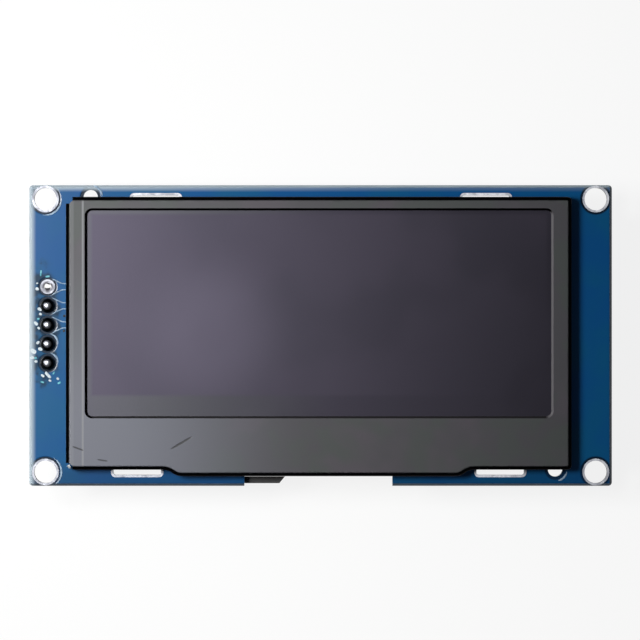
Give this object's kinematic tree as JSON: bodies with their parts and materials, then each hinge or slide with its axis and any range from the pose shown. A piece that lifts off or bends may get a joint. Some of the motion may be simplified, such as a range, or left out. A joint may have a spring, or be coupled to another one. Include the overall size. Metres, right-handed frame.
{
  "type": "small oled display module",
  "caption": "Flat display panel in a folded sheet-metal bezel, tabbed to a blue circuit board with corner mounting holes and a pin header soldered at its left edge.",
  "frame": {"origin": "centre of the corner-hole pattern, on the back face of the circuit board", "axes": "+Z out of the screen towards the viewer, +X to the viewer's right along the long side, +Y towards the top of the picture"},
  "size_m": [0.0776, 0.04, 0.0128],
  "materials": {
    "solder_mask_board": "glossy",
    "tinned_copper": "bright",
    "painted_sheet": "satin",
    "polarizer_film": "anti-glare",
    "panel_glass": "polished",
    "silicon": "polished",
    "polyimide_film": "satin",
    "solder": "bright",
    "black_tape": "matte",
    "foam_tape": "matte",
    "header_plastic": "moulded",
    "plated_pin": "plated",
    "mould_compound": "moulded",
    "ferrite": "sintered",
    "copper_wire": "enamelled",
    "capacitor_ceramic": "fired",
    "resistor_glaze": "glazed"
  },
  "bodies": {
    "root": {"pcb": "solder_mask_board", "corner_hole_lands": "tinned_copper", "tab_slot_lands": "tinned_copper", "header_lands": "tinned_copper", "bezel": "painted_sheet", "front_polarizer": "polarizer_film", "front_glass": "panel_glass", "back_glass": "panel_glass", "driver_chip": "silicon", "panel_flex": "polyimide_film", "flex_pads": "tinned_copper", "flex_solder": "solder", "flex_tape": "black_tape", "foam_pad": "foam_tape", "header_body": "header_plastic", "header_pin_1": "plated_pin", "header_pin_2": "plated_pin", "header_pin_3": "plated_pin", "header_pin_4": "plated_pin", "solder_joint_1": "solder", "solder_joint_2": "solder", "solder_joint_3": "solder", "solder_joint_4": "solder", "component_pads": "tinned_copper", "component_solder": "solder", "converter_body": "mould_compound", "converter_leads": "tinned_copper", "regulator_body": "mould_compound", "regulator_leads": "tinned_copper", "diode_body": "mould_compound", "diode_leads": "tinned_copper", "inductor_shell": "ferrite", "inductor_drum": "ferrite", "inductor_coil": "copper_wire", "inductor_terminals": "tinned_copper", "capacitor_bodies": "capacitor_ceramic", "capacitor_ends": "tinned_copper", "resistor_bodies": "resistor_glaze", "resistor_ends": "tinned_copper"}
  },
  "joints": []
}
